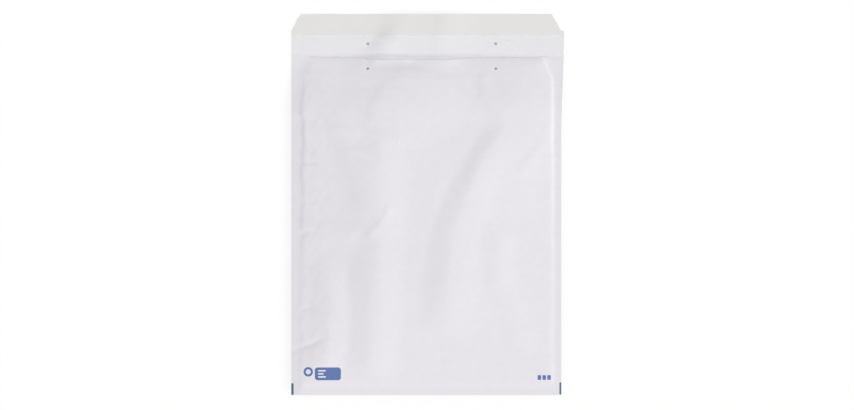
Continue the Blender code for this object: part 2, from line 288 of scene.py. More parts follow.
# Heights along the mouth: millimetres from the left edge, and millimetres up. The first is how far the
# padding holds both panels up at the lip. The second is the same rise farther down the front panel, where the
# lip's buckles have evened out. The third is how far the lip stands above or below the mouth's line.
LIP_SWELL = (
    (0, 12, 40, 70, 82, 88, 91, 96, 112, 121, 124, 130, 158, 164, 169, 174, 186, 220, 260, 276, 290),
    (0, 0.2, 0.7, 1.3, 2.1, 2.7, 2.8, 2.5, 2.3, 2.5, 2.4, 1.8, 1.8, 2.2, 2.4, 2.1, 1.3, 0.9, 0.6, 0.2, 0),
)
PANEL_SWELL = ((0, 30, 75, 110, 165, 220, 265, 290), (0, 0.9, 1.8, 2.2, 2.0, 1.1, 0.4, 0))
LIP_LEVELS = (
    (0, 12, 22, 33, 60, 76, 82, 100, 125, 150, 170, 178, 190, 200, 230, 262, 270, 276, 280, 290),
    (3.4, 2.8, 0.5, -0.3, -0.3, -0.5, -2.5, -2.9, -2.7, -2.9,
     -2.8, -2.0, -0.9, -0.6, -0.2, -0.3, 0.6, 0.2, -2.2, -2.6),
)


def along_mouth(x, heights):
    """A height at each point across the envelope, read off straight lines between the table's places."""
    return np.interp((x - LEFT) * 1000.0, *heights) / 1000.0


def mouth_swell(x, y):
    """The lip's swell, which falls away from 3.6 mm below the fold line to 2.6 mm above it.

    Three quarters of it fall evenly, and one quarter in an S."""
    fall = np.clip((FOLD_LINE + 0.0026 - y) / 0.0062, 0.0, 1.0)
    return along_mouth(x, LIP_SWELL) * (0.75 * fall + 0.25 * smooth(fall))


def lip_line(x):
    """How far the front panel's top edge stands above or below the mouth's line, along its width."""
    return along_mouth(x, LIP_LEVELS)


def flap_share(x, y):
    """1 on the flap and at the lip, and an S down to 0 at 24 mm below the lip."""
    return smooth(1.0 - (MOUTH + lip_line(x) - y) / 0.024)


def back_under(x, y):
    """Underside of the back panel: the padding presses it flat on the floor between the floating seals.

    It is the seals' height times what the pressing leaves of it, the flap's waves, and the swell at the lip,
    which sets in between 26 and 8 mm below the fold line."""
    left, right, bottom, _ = inside(x, y)
    pressed = rise(np.minimum(left, right), BACK_RUN) * rise(bottom, BACK_RUN)
    swell = mouth_swell(x, y) * smooth((y - FOLD_LINE + 0.026) / 0.018)
    flap = flap_share(x, y) * np.clip(flap_waves(x, y), 0.0, None)
    return seal_base(x, y) * (1.0 - pressed) + flap + swell


def joined(*shares):
    """One share out of several: close to an edge it follows that edge's own, and it is 1 where all are.

    Each share is raised to the power -2. Their sum, less the count beyond one, is raised to -1/2."""
    total = sum(np.maximum(share, 1e-4) ** -2.0 for share in shares) - (len(shares) - 1)
    return total**-0.5


# The pillow's climb from its edges. At the right it depends on the height above the bottom, in millimetres.
# From the mouth it goes by metres below the lip and shares of the pillow, steep over the welded band and
# gentle after it.
LEFT_CLIMB, BOTTOM_CLIMB, CLIMB_POWER = 0.085, 0.110, 1.2
RIGHT_CLIMB = ((150, 300), (0.135, 0.118))
BAND_END = 0.0205  # below the lip
BAND_DROP = 0.00026  # the panel sinks this much past the band, at the left, and less at the right
MOUTH_CLIMB = ((0.0, BAND_END, 0.0225, 0.1000), (0.0, 0.35, 0.38, 1.0))
SEAL_THINNED = 0.00021  # welding leaves the seal this much thinner than its layers
# The small step at the padding's left and right edge: millimetres above the bottom, and its height in metres.
LEFT_STEP = (
    (0, 60, 130, 180, 230, 300, 320, 338, 352),
    (1e-4, 2e-4, 3e-4, 6e-4, 9e-4, 12e-4, 11e-4, 5e-4, 1e-4),
)
RIGHT_STEP = ((0, 60, 150, 250, 320, 363), (1e-4, 3e-4, 5e-4, 8e-4, 11e-4, 11e-4))


def front_top(x, y):
    """Upper face of the front panel: a pillow closed on all four sides, with its folds.

    It is the seal's height, the layers in it, the pillow, a small step round the padding that climbs and
    fades, the crumple, a shallow drop past the welded band, and at the lip the flap's waves and the swell."""
    left, right, bottom, mouth = inside(x, y)
    mouth = np.maximum(mouth + lip_line(x), 0.0)
    edge = np.minimum(np.minimum(left, right), bottom)
    padded = edge > 0.0
    up = (y - BOTTOM) * 1000.0
    from_mouth = np.interp(mouth, *MOUTH_CLIMB)
    from_left = rise(left, LEFT_CLIMB, CLIMB_POWER)
    from_right = rise(right, np.interp(up, *RIGHT_CLIMB), CLIMB_POWER)
    from_bottom = rise(bottom, BOTTOM_CLIMB, CLIMB_POWER)
    pillow = np.where(padded, PILLOW * joined(from_left, from_right, from_bottom, from_mouth), 0.0)
    step = np.interp(up, *LEFT_STEP) * rise(left, EDGE_STEP_RUN) * (1.0 - smooth(left / STEP_FADE))
    step = step + np.interp(up, *RIGHT_STEP) * rise(right, EDGE_STEP_RUN) * (1.0 - smooth(right / STEP_FADE))
    at_sides = EDGE_STEP * rise(np.minimum(left, right), EDGE_STEP_RUN)
    step = step + at_sides * (1.0 - smooth(bottom / STEP_FADE))
    drop = -BAND_DROP * np.interp((x - LEFT) * 1000.0, (0, 140, 290), (1.0, 0.8, 0.4))
    drop = drop * smooth((mouth - BAND_END) / 0.0036) * (1.0 - smooth((mouth - 0.0240) / 0.050))
    at_lip = flap_share(x, y) * np.clip(flap_waves(x, y), 0.0, None)
    buckled = 1.0 - smooth(mouth / 0.011)
    far_from_lip = smooth((mouth - 0.004) / 0.075)
    evened = along_mouth(x, PANEL_SWELL) * (1.0 - buckled) * (1.0 - far_from_lip)
    at_lip = at_lip + mouth_swell(x, y) * buckled + evened
    no_film = smooth(1.0 - mouth / 0.004) * padded
    layers = STACK - SEAL_THINNED * smooth(-edge / 0.003) - (FILM + PRESSED) * no_film
    top = seal_base(x, y) + layers + pillow + step * rise(bottom, EDGE_STEP_RUN) * rise(mouth, 0.012)
    return top + crumple(x, y) * smooth(mouth / 0.014) + drop * padded + at_lip


HAIR = 1e-6  # less than any two rows or columns lie apart
EDGE_STATIONS = (0.0, 0.0008, 0.0016, 0.0024, 0.0034, 0.0048, 0.0066, 0.0090)  # columns inside a seal's line
SEAL_STATIONS = (0.0, 0.175, 0.35, 0.525, 0.7, 0.85)  # columns on a seal, as shares of its width
PIN_CLUSTER = (0.0, PIN_HOLE / 2, PIN_HOLE, 0.0024)  # rows and columns round a pin


def stations(marks, step, clusters=(), cluster=()):
    """Sorted stations: the marks, steps of about one length between them, and a cluster round each pin."""
    filled = [np.linspace(a, b, max(2, round((b - a) / step) + 1)) for a, b in zip(marks, marks[1:])]
    places = np.unique(np.round(np.concatenate(filled), 7))
    for centre in clusters:
        places = places[np.abs(places - centre) > max(cluster) + 0.3 * step]
        places = np.concatenate([places, centre + np.array(cluster), centre - np.array(cluster)])
    return np.unique(np.round(places, 7))


def grid(y, right, step):
    """X and Y of a grid with a row at each height, and columns about one step apart.

    A column moves with the padding's edge and with the sheet's edge: fully at the edge, and by a share that
    falls evenly to none 68 mm and 60 mm inside."""
    near = SIDE_SEAL + np.array(EDGE_STATIONS)
    in_seal = SIDE_SEAL * np.array(SEAL_STATIONS)
    marks = np.concatenate([in_seal, near, WIDTH - near[::-1], WIDTH - in_seal[::-1]])
    places = stations(marks, step, sorted({pin_x - LEFT for pin_x, _ in PINS}), PIN_CLUSTER)
    left_in, right_in = padding_edges(y)
    follow = np.interp(places, (0.0, SIDE_SEAL, SIDE_SEAL + 0.010, 0.068), (0.0, 1.0, 1.0, 0.0))
    x = LEFT + places + np.outer(left_in, follow) - np.outer(right_in, follow[::-1])
    edge = np.interp(places, (0.0, 0.060), (1.0, 0.0))
    x = x + np.outer(sheet_left(y) - LEFT, edge) + np.outer(right - RIGHT, edge[::-1])
    return x, np.repeat(y[:, None], x.shape[1], axis=1)


def around_pins(x, y):
    """Turns the square of cells at each pin into a round hole, and marks the cells that the hole takes away.

    A point's square distance becomes its round distance at the hole, and less so up to twice as far out."""
    new_x, new_y = x.copy(), y.copy()
    hole = np.zeros(x.shape, bool)
    for pin_x, pin_y in PINS:
        off_x, off_y = x - pin_x, y - pin_y
        square, round_ = np.maximum(abs(off_x), abs(off_y)), np.hypot(off_x, off_y)
        turned = 1.0 - smooth((square - PIN_HOLE) / (2.0 * PIN_HOLE))
        scale = np.where(round_ > 0, 1.0 - turned * (1.0 - square / np.maximum(round_, 1e-9)), 1.0)
        new_x, new_y = new_x + off_x * (scale - 1.0), new_y + off_y * (scale - 1.0)
        hole |= square < PIN_HOLE + HAIR
    corners = hole[:-1, :-1] & hole[1:, :-1] & hole[:-1, 1:] & hole[1:, 1:]
    return new_x, new_y, ~corners


def cells(shape, keep=None):
    """The grid's cells as four point numbers each, without those that aren't kept."""
    index = np.arange(shape[0] * shape[1]).reshape(shape)
    faces = np.stack([index[:-1, :-1], index[:-1, 1:], index[1:, 1:], index[1:, :-1]], axis=-1)
    return faces.reshape(-1, 4) if keep is None else faces[keep]


def closed(upper, lower, faces):
    """Points and faces of a closed solid between two sheets of the same cells, with walls round them.

    A wall stands on each edge that only one cell has. The last result is the points' numbers in the grid."""
    used = np.unique(faces)
    number = np.full(len(upper), -1)
    number[used] = np.arange(len(used))
    faces = number[faces]
    edges = np.stack([faces, np.roll(faces, -1, axis=1)], axis=-1).reshape(-1, 2)
    forward, backward = edges[:, 0] * len(upper) + edges[:, 1], edges[:, 1] * len(upper) + edges[:, 0]
    start, end = edges[~np.isin(backward, forward)].T
    walls = np.stack([end, start, start + len(used), end + len(used)], axis=-1)
    points = np.concatenate([upper[used], lower[used]])
    return points, np.concatenate([faces, faces[:, (0, 3, 2, 1)] + len(used), walls]), used


def slab(x, y, low, high, keep=None):
    """A closed slab between two heights over the same grid."""
    faces = cells(x.shape, keep)
    upper = np.stack([x, y, high], axis=-1).reshape(-1, 3)
    lower = np.stack([x, y, low], axis=-1).reshape(-1, 3)
    return closed(upper, lower, faces)


def piece(name, points, faces, material, node, uv=None):
    """Makes the piece, rides it on the envelope's body and lets it stand for its CAD node."""
    mesh = bpy.data.meshes.new(name)
    mesh.from_pydata(points.tolist(), [], faces)
    if uv is not None:
        layer = mesh.uv_layers.new(name="sheet")
        corner = np.zeros(len(mesh.loops), int)
        mesh.loops.foreach_get("vertex_index", corner)
        layer.uv.foreach_set("vector", uv[corner].ravel())
    mesh.shade_smooth()
    mesh.set_sharp_from_angle(angle=np.radians(50.0))
    mesh.materials.append(material)
    made = bpy.data.objects.new(name, mesh)
    bpy.context.scene.collection.objects.link(made)
    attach(made, "root")
    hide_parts(node)
    return made


def linear(code):
    """A colour written as six hex digits in sRGB, turned to the linear values that Blender takes."""
    share = np.array([int(code[i : i + 2], 16) for i in (0, 2, 4)]) / 255.0
    value = np.where(share <= 0.04045, share / 12.92, ((share + 0.055) / 1.055) ** 2.4)
    return (*value.tolist(), 1.0)


def add(tree, kind, inputs=None, **settings):
    """Adds one node. Inputs go by name or number, each a value or another node's output."""
    made = tree.nodes.new("ShaderNode" + kind)
    for name, value in settings.items():
        setattr(made, name, value)
    for key, value in (inputs or {}).items():
        if isinstance(value, bpy.types.NodeSocket):
            tree.links.new(value, made.inputs[key])
        else:
            made.inputs[key].default_value = value
    return made


def new_material(name, **surface):
    """An empty material with its Principled shader, whose own sockets take the plain values."""
    made = bpy.data.materials.new(name)
    made.use_nodes = True
    shader = made.node_tree.nodes["Principled BSDF"]
    for key, value in surface.items():
        shader.inputs[key.replace("_", " ")].default_value = value
    return made, made.node_tree, shader


# White machine-finished kraft paper: matt, cloudy where the fibres lie thicker, with a faint lilac cast. The
# clouds are 8 mm across and the fibre tufts 1 mm. Single fibres are too fine to show, so strands of 4 by
# 0.5 mm stand for them. UV "sheet" is in metres from the front panel's lower left corner.
white_kraft, tree, shader = new_material("white_kraft_paper_machine_finished", Roughness=0.62, IOR=1.5)
place = add(tree, "UVMap", uv_map="sheet").outputs[0]
cloudy = add(tree, "TexNoise", {"Vector": place, "Scale": 130.0, "Detail": 3.0, "Roughness": 0.55})
fibres = add(tree, "TexNoise", {"Vector": place, "Scale": 900.0, "Detail": 2.0, "Roughness": 0.6})
stretch = add(tree, "Mapping", {"Vector": place, "Scale": (260.0, 1900.0, 1.0)})
strands = add(tree, "TexNoise", {"Vector": stretch.outputs[0], "Scale": 1.0, "Detail": 2.0})
thick = add(tree, "Mix", {0: 0.35, 2: cloudy.outputs[0], 3: fibres.outputs[0]})
cloud_share = add(tree, "MapRange", {0: thick.outputs[0], 1: 0.36, 2: 0.64, 3: 0.0, 4: 1.0})
bare = add(
    tree, "Mix", {0: cloud_share.outputs[0], 6: linear("E2E0E6"), 7: linear("E5E3E8")}, data_type="RGBA"
).outputs[2]

# Under the film that is welded to the flap the sheet is painted paler: painted light that makes up for the
# shade the semi-clear film casts on the paper.
painted_light_under_film = add(
    tree, "Mix", {0: cloud_share.outputs[0], 6: linear("E9E8EB"), 7: linear("ECEBEE")}, data_type="RGBA"
).outputs[2]
height_up = add(tree, "SeparateXYZ", {0: place}).outputs["Y"]
on_flap = add(tree, "MapRange", {0: height_up, 1: -HEIGHT, 2: -HEIGHT - 0.001}).outputs[0]
bare = add(tree, "Mix", {0: on_flap, 6: bare, 7: painted_light_under_film}, data_type="RGBA").outputs[2]

# The print is one water-based ink, a little patchy. Fields in millimetres from the lower left corner: middle,
# half size and corner radius. The two edge marks steer the cutting machine. The rest stand for nothing.
EDGE_MARKS = (((1.1, 6.3), (1.5, 6.4), 0.7), ((289.6, 7.2), (1.6, 6.5), 0.7))
BADGE = (((39.4, 23.0), (14.0, 6.9), 3.0),)
BADGE_CUTOUT = (
    ((33.0, 26.3), (4.2, 0.8), 0.7), ((31.8, 23.0), (3.0, 0.8), 0.7), ((33.0, 19.7), (4.2, 0.8), 0.7),
)
BARS = (
    ((266.4, 19.0), (1.9, 2.5), 0.4), ((271.6, 19.0), (1.9, 2.5), 0.4), ((276.8, 19.0), (1.9, 2.5), 0.4),
)
RING = ((18.4, 25.1), 3.9, 1.2)  # middle, radius and half width
BLUR = 1e-4  # half the soft edge of the ink, in metres


def either(tree, one, other):
    """The larger of two values."""
    return add(tree, "Math", {0: one, 1: other}, operation="MAXIMUM").outputs[0]


def fields(tree, place, boxes):
    """1 inside any of the rounded fields and 0 outside, from the distance to each field's outline."""
    total = None
    for (u, v), (half_u, half_v), corner in boxes:
        off = add(tree, "VectorMath", {0: place, 1: (u / 1e3, v / 1e3, 0.0)}, operation="SUBTRACT").outputs[0]
        off = add(tree, "VectorMath", {0: off}, operation="ABSOLUTE").outputs[0]
        size = ((half_u - corner) / 1e3, (half_v - corner) / 1e3, 0.0)
        off = add(tree, "VectorMath", {0: off, 1: size}, operation="SUBTRACT").outputs[0]
        off = add(tree, "VectorMath", {0: off, 1: (0.0, 0.0, 0.0)}, operation="MAXIMUM").outputs[0]
        far = add(tree, "VectorMath", {0: off}, operation="LENGTH").outputs["Value"]
        one = add(tree, "MapRange", {0: far, 1: corner / 1e3 + BLUR, 2: corner / 1e3 - BLUR}).outputs[0]
        total = one if total is None else either(tree, total, one)
    return total


def ring_field(tree, place, centre, radius, half_width):
    """1 on a ring and 0 off it, from the difference between the distance to its centre and its radius."""
    far = add(
        tree, "VectorMath", {0: place, 1: (centre[0] / 1e3, centre[1] / 1e3, 0.0)}, operation="DISTANCE"
    ).outputs["Value"]
    off = add(tree, "Math", {0: far, 1: radius / 1e3}, operation="SUBTRACT").outputs[0]
    off = add(tree, "Math", {0: off}, operation="ABSOLUTE").outputs[0]
    return add(tree, "MapRange", {0: off, 1: half_width / 1e3 + BLUR, 2: half_width / 1e3 - BLUR}).outputs[0]


badge = add(
    tree, "Math", {0: fields(tree, place, BADGE), 1: fields(tree, place, BADGE_CUTOUT)},
    operation="SUBTRACT", use_clamp=True,
).outputs[0]
small_print = either(tree, badge, fields(tree, place, BARS))
small_print = either(tree, small_print, ring_field(tree, place, *RING))
edge_marks = fields(tree, place, EDGE_MARKS)
patchy = add(tree, "MapRange", {0: fibres.outputs[0], 1: 0.3, 2: 0.6, 3: 0.86, 4: 1.0}).outputs[0]
small_share = add(tree, "Math", {0: small_print, 1: patchy}, operation="MULTIPLY").outputs[0]
mark_share = add(tree, "Math", {0: edge_marks, 1: patchy}, operation="MULTIPLY").outputs[0]
printed = add(tree, "Mix", {0: small_share, 6: bare, 7: linear("4C67A4")}, data_type="RGBA").outputs[2]
printed = add(tree, "Mix", {0: mark_share, 6: printed, 7: linear("2D5C86")}, data_type="RGBA").outputs[2]

# Round each pin hole a dark ring of painted shade stands in for the shade down in the hole. It is fainter on
# the front panel.
SHADE_RING_OUT, SHADE_RING_HALF = 0.5, 0.45  # millimetres from the hole's edge to the ring's middle, and its half width
painted_hole_shade = None
for pin_x, pin_y in PINS:
    u, v = (pin_x - LEFT) * 1e3, (pin_y - BOTTOM) * 1e3
    for turned, strength in ((v, 0.45), (-v, 1.0)):
        hole_shade_ring = ring_field(tree, place, (u, turned), PIN_HOLE * 1e3 + SHADE_RING_OUT, SHADE_RING_HALF)
        hole_shade_ring = add(tree, "Math", {0: hole_shade_ring, 1: strength}, operation="MULTIPLY").outputs[0]
        painted_hole_shade = hole_shade_ring if painted_hole_shade is None else either(tree, painted_hole_shade, hole_shade_ring)
# The rings of painted shade darken the sheet round each pin hole.
printed = add(tree, "Mix", {0: painted_hole_shade, 6: printed, 7: linear("4A4A50")}, data_type="RGBA").outputs[2]
tree.links.new(printed, shader.inputs["Base Color"])

# Relief: fibres all over, and a coarser grain of 2 mm where film is pressed on the flap.
relief = add(tree, "Mix", {0: 0.5, 2: fibres.outputs[0], 3: strands.outputs[0]}).outputs[0]
grain = add(tree, "TexNoise", {"Vector": place, "Scale": 480.0, "Detail": 1.5}).outputs[0]
grain = add(tree, "Math", {0: grain, 1: on_flap}, operation="MULTIPLY").outputs[0]
relief = add(tree, "Math", {0: grain, 1: 2.2, 2: relief}, operation="MULTIPLY_ADD").outputs[0]
bump = add(tree, "Bump", {"Strength": 0.35, "Distance": 0.00012, "Height": relief})
tree.links.new(bump.outputs[0], shader.inputs["Normal"])

# Rows of the two panels. They lie close where the form is fine: at the bottom band, where the lowest crease
# crosses the left seal, at the lip, the cut corners and the pins.
STRIP_HEIGHT = 0.0222  # the release strip covers this much of the flap, and the film ends below it
BAND_FOOT = MOUTH - 0.021  # lower end of the welded band
BELOW_BAND = MOUTH - 0.026
LIP_FOOT, LIP_HEAD = MOUTH - 0.008, FOLD_LINE + 0.006  # the back panel's part behind the lip
FRONT_STEP, BAND_STEP, BACK_STEP, LIP_STEP, FLAP_STEP = 0.0020, 0.0015, 0.0100, 0.0012, 0.0018
COLUMN_STEP = 0.0019
FOLD_RADIUS = (2 * FILM + 3 * PRESSED) / 2
FOLD_CENTRE = BOTTOM + PAPER + FOLD_RADIUS
bottom_rows = [FOLD_CENTRE, BOTTOM + 0.35 * BOTTOM_BAND, BOTTOM + 0.7 * BOTTOM_BAND]
bottom_rows = np.concatenate([bottom_rows, BOTTOM + BOTTOM_BAND + np.array(EDGE_STATIONS)])
pin_rows = sorted({pin_y for _, pin_y in PINS})
front_rows = stations(np.append(bottom_rows, [BELOW_BAND, BAND_FOOT]), FRONT_STEP)
band_rows = stations([BAND_FOOT, MOUTH], BAND_STEP, pin_rows[:1], PIN_CLUSTER)
front_rows = np.concatenate([front_rows[:-1], band_rows])
creased_rows = BOTTOM + np.linspace(0.040, 0.056, 9)
back_marks = np.concatenate([bottom_rows, creased_rows, [LIP_FOOT]])
lip_rows = stations([LIP_FOOT, LIP_HEAD], LIP_STEP)
flap_marks = [LIP_HEAD, TOP - STRIP_HEIGHT, CORNER, CORNER + CORNER_STEP, TOP]
back_rows = np.unique(np.concatenate([
    stations(back_marks, BACK_STEP, pin_rows[:1], PIN_CLUSTER),
    lip_rows,
    stations(flap_marks, FLAP_STEP, pin_rows[1:], PIN_CLUSTER),
]))


def front_grid(y, step):
    """X and Y of the front panel's grid: its last 9 mm of rows bend to follow the lip's own line."""
    x, y = grid(y, np.full(len(y), RIGHT), step)
    return x, y + lip_line(x) * smooth(1.0 - (MOUTH - y) / 0.009)


# The sheet's inner face, from the flap's edge down the back, round the fold and up the front. The fold is
# half a circle, stretched to the height between its ends. The outer face lies one thickness out along the
# normals. UV "sheet" runs from 0 at the fold up the front, and below 0 down the back and over the flap.
front_x, front_y = front_grid(front_rows, COLUMN_STEP)
back_x, back_y = grid(back_rows, sheet_right(back_rows), COLUMN_STEP)
back_z = back_under(back_x, back_y) + PAPER
front_z = front_top(front_x, front_y) - PAPER
front_x, front_y, front_keep = around_pins(front_x, front_y)
back_x, back_y, back_keep = around_pins(back_x, back_y)
FOLD_ROWS = 6
turn = np.linspace(0.0, np.pi, FOLD_ROWS + 2)[1:-1, None]
fold_x = np.ones_like(turn) * front_x[0]
fold_y = FOLD_CENTRE - FOLD_RADIUS * np.sin(turn) * np.ones_like(front_x[0])
fold_z = (back_z[0] + front_z[0]) / 2 - np.cos(turn) * (front_z[0] - back_z[0]) / 2
x = np.concatenate([back_x[::-1], fold_x, front_x])
y = np.concatenate([back_y[::-1], fold_y, front_y])
z = np.concatenate([back_z[::-1], fold_z, front_z])
keep = np.concatenate([back_keep[::-1], np.ones((len(turn) + 1, x.shape[1] - 1), bool), front_keep])
inner = np.stack([x, y, z], axis=-1)
normal = np.cross(np.gradient(inner, axis=1), np.gradient(inner, axis=0))
normal /= np.linalg.norm(normal, axis=-1, keepdims=True)
outer = inner + PAPER * normal
points, faces, used = closed(outer.reshape(-1, 3), inner.reshape(-1, 3), cells(x.shape, keep))
along = np.concatenate([-(back_y[::-1] - BOTTOM), 0.0 * fold_y, front_y - BOTTOM])
sheet_uv = np.stack([x - LEFT, along], axis=-1).reshape(-1, 2)[used]
piece(
    "paper_sheet", points, faces.tolist(), white_kraft, "outer_paper",
    np.concatenate([sheet_uv, sheet_uv]),
)


# The bubble film. It is a pouch of clear polyethylene, two plies welded into the side seals with the paper,
# and its bubbles face into the pocket. The back ply runs on over the flap, pressed flat, up to the release
# strip.
BUBBLE_RADIUS, BUBBLE_PITCH = 0.0050, 0.0122
BUBBLE_HEIGHT, BUBBLE_LOWEST = 0.0027, 0.0002  # where there is room, and where there is least
BUBBLE_SHARE = 0.46  # and at most this share of the pocket's height
LOOSE, LOOSE_RUN = 0.0011, 0.012  # the front ply sinks this far off the panel, over this run from its edges
BELOW_MOUTH = 0.001  # and from this far below the mouth
BUBBLE_CLEAR = 0.0005  # a bubble keeps this far from the padding's edges

# Clear low-density polyethylene, cast and cooled on a drum: glossy and hazy, with a faint mottle of 4 mm
# where it is pressed.
clear_film, tree, shader = new_material("clear_polyethylene_film_cast", Roughness=0.18, IOR=1.51, Alpha=0.25)
place = add(tree, "TexCoord").outputs["Object"]
mottle = add(tree, "TexNoise", {"Vector": place, "Scale": 260.0, "Detail": 2.0})
haze = add(tree, "Mix", {0: mottle.outputs[0], 6: linear("F6F6FA"), 7: linear("FFFFFF")}, data_type="RGBA")
tree.links.new(haze.outputs[2], shader.inputs["Base Color"])
wrinkle = add(tree, "Bump", {"Strength": 0.5, "Distance": 0.0003, "Height": mottle.outputs[0]})
tree.links.new(wrinkle.outputs[0], shader.inputs["Normal"])


def film_low(x, y):
    """Under side of the back ply, just clear of the paper."""
    return back_under(x, y) + PAPER + PRESSED


def film_high(x, y):
    """Upper side of the front ply: welded to the paper in the seals, and down in an S from the panel."""
    left, right, bottom, mouth = inside(x, y)
    edge = np.minimum(np.minimum(left, right), np.minimum(bottom, mouth - BELOW_MOUTH))
    return front_top(x, y) - PAPER - PRESSED - LOOSE * smooth(edge / LOOSE_RUN)


# The plies. Each one's rows are rows of the paper where both are pressed on each other or follow a fine form.
FILM_SET_BACK = 0.006  # the front ply ends this far below the lip
FILM_STEP = 0.0060
CREASE_MIDDLE, CREASE_REACH = 0.053, 0.016  # of the lowest crease, above the bottom
every_other = np.arange(len(front_rows)) % 2 == 0
at_crease = abs(front_rows - BOTTOM - CREASE_MIDDLE) < CREASE_REACH
fine = at_crease | (front_rows < bottom_rows[-1] + HAIR) | (front_rows > BAND_FOOT - HAIR)
in_pocket = (front_rows > bottom_rows[0]) & (front_rows < MOUTH - FILM_SET_BACK)
x, y = front_grid(front_rows[(every_other | fine) & in_pocket], FILM_STEP)
high = film_high(x, y)
x, y, keep = around_pins(x, y)
front_ply = slab(x, y, high - FILM, high, keep)
below_strip = (back_rows > LIP_HEAD) & (back_rows < TOP - STRIP_HEIGHT + HAIR)
film_rows = np.unique(np.concatenate([
    stations(back_marks[1:], FILM_STEP, pin_rows[:1], PIN_CLUSTER), lip_rows, back_rows[below_strip],
]))
x, y = grid(film_rows, sheet_right(film_rows), COLUMN_STEP)
low = film_low(x, y)
x, y, keep = around_pins(x, y)
back_ply = slab(x[::-1], y[::-1], (low + FILM)[::-1], low[::-1], keep[::-1])

# Bubble centres in staggered rows, where the plies lie far enough apart and no pin goes through.
FIRST_ACROSS, FIRST_UP = 0.008, 0.012  # the first bubble's middle
row_step = BUBBLE_PITCH * 3**0.5 / 2
rows, columns = np.mgrid[0 : round(HEIGHT / row_step), 0 : round(WIDTH / BUBBLE_PITCH)]
centre_x = (LEFT + FIRST_ACROSS + columns * BUBBLE_PITCH + (rows % 2) * BUBBLE_PITCH / 2).ravel()
centre_y = (BOTTOM + FIRST_UP + rows * row_step).ravel()
left, right, bottom, mouth = inside(centre_x, centre_y)
edge = np.minimum(np.minimum(left, right), np.minimum(bottom, mouth - BELOW_MOUTH))
clear = edge > BUBBLE_RADIUS + BUBBLE_CLEAR
for pin_x, pin_y in PINS:
    clear &= np.hypot(centre_x - pin_x, centre_y - pin_y) > BUBBLE_RADIUS + 2 * PIN_HOLE
centre_x, centre_y = centre_x[clear], centre_y[clear]

# One bubble: a flat foot inside the film, a steep wall, a rounded shoulder and a low crown.
SIDES = 10
angle = 2 * np.pi * np.arange(SIDES) / SIDES
ring_radius = np.array([1.0, 0.97, 0.74])
ring_height = np.array([-0.04, 0.55, 0.92])
ring_x = np.outer(ring_radius, np.cos(angle)).ravel() * BUBBLE_RADIUS
ring_y = np.outer(ring_radius, np.sin(angle)).ravel() * BUBBLE_RADIUS
unit_x, unit_y = np.append(ring_x, (0.0, 0.0)), np.append(ring_y, (0.0, 0.0))
unit_z = np.append(np.repeat(ring_height, SIDES), (ring_height[0], 1.0))
here = np.arange(SIDES)
after = (here + 1) % SIDES
wall = np.stack([here, after, after + SIDES, here + SIDES], -1)
walls = np.concatenate([wall, wall + SIDES])
foot = np.stack([after, here, np.full(SIDES, 3 * SIDES)], -1)
crown = np.stack([here + 2 * SIDES, after + 2 * SIDES, np.full(SIDES, 3 * SIDES + 1)], -1)


def bubbles(surface, up):
    """All bubbles of one ply, standing on its surface or hanging from it, as high as the pocket has room.

    Each is the one bubble, moved to its centre and scaled in height. up is 1 to stand and -1 to hang."""
    x, y = centre_x[:, None] + unit_x, centre_y[:, None] + unit_y
    room = film_high(centre_x, centre_y) - film_low(centre_x, centre_y) - 2 * FILM
    height = np.clip(BUBBLE_SHARE * room, BUBBLE_LOWEST, BUBBLE_HEIGHT)[:, None]
    z = surface(x, y) + up * (FILM + height * unit_z)
    points = np.stack([x, y, z], -1).reshape(-1, 3)
    first = (np.arange(len(centre_x)) * len(unit_x))[:, None, None]
    quads, fans = (walls + first).reshape(-1, 4), (np.concatenate([foot, crown]) + first).reshape(-1, 3)
    return (points, quads, fans) if up > 0 else (points, quads[:, ::-1], fans[:, ::-1])


parts, faces, count = [], [], 0
for points, quads, fans in (
    (front_ply[0], front_ply[1], []),
    (back_ply[0], back_ply[1], []),
    bubbles(film_low, 1.0),
    bubbles(film_high, -1.0),
):
    faces += (np.asarray(quads) + count).tolist() + (np.asarray(fans, int).reshape(-1, 3) + count).tolist()
    parts.append(points)
    count += len(points)
liner = piece("bubble_film", np.concatenate(parts), faces, clear_film, "bubble_liner")


# The glue. It is a band of clear hot-melt glue, rolled on across the flap and covered by the release strip.
# The roller leaves streaks of 17 by 1 mm along it.
STRIP_LOW = TOP - STRIP_HEIGHT
GLUE = 0.00006
GLUE_INSET = 0.0035  # from the strip's edges and ends
GLUE_STEP, FLAP_COLUMNS = 0.003, 90
hot_melt, tree, shader = new_material("clear_hot_melt_glue_rolled_on", Roughness=0.18, IOR=1.49, Alpha=0.85)
place = add(tree, "TexCoord").outputs["Object"]
streaks = add(tree, "Mapping", {"Vector": place, "Scale": (60.0, 900.0, 1.0)})
rolled = add(tree, "TexNoise", {"Vector": streaks.outputs[0], "Scale": 1.0, "Detail": 2.0})
amber = add(tree, "Mix", {0: rolled.outputs[0], 6: linear("E6DFCB"), 7: linear("EFEADB")}, data_type="RGBA")
tree.links.new(amber.outputs[2], shader.inputs["Base Color"])
ribs = add(tree, "Bump", {"Strength": 0.4, "Distance": 0.0002, "Height": rolled.outputs[0]})
tree.links.new(ribs.outputs[0], shader.inputs["Normal"])


def flap_grid(low, high, inset, step):
    """X and Y of a band across the flap, with its cut corners: rows about one step apart, columns even."""
    rows = np.concatenate([stations([low, high], step), [CORNER, CORNER + CORNER_STEP]])
    rows = np.unique(np.round(rows, 7))
    rows = rows[(rows >= low - HAIR) & (rows <= high + HAIR)]
    share = np.linspace(0.0, 1.0, FLAP_COLUMNS)
    start, end = sheet_left(rows) + inset, sheet_right(rows) - inset
    x = start[:, None] + np.outer(end - start, share)
    return x, np.repeat(rows[:, None], len(share), axis=1)


x, y = flap_grid(STRIP_LOW + GLUE_INSET, TOP - GLUE_INSET, GLUE_INSET, GLUE_STEP)
low = back_under(x, y) + PAPER + PRESSED
points, quads, _ = slab(x, y, low, low + GLUE)
piece("glue_band", points, quads.tolist(), hot_melt, "adhesive_strip")


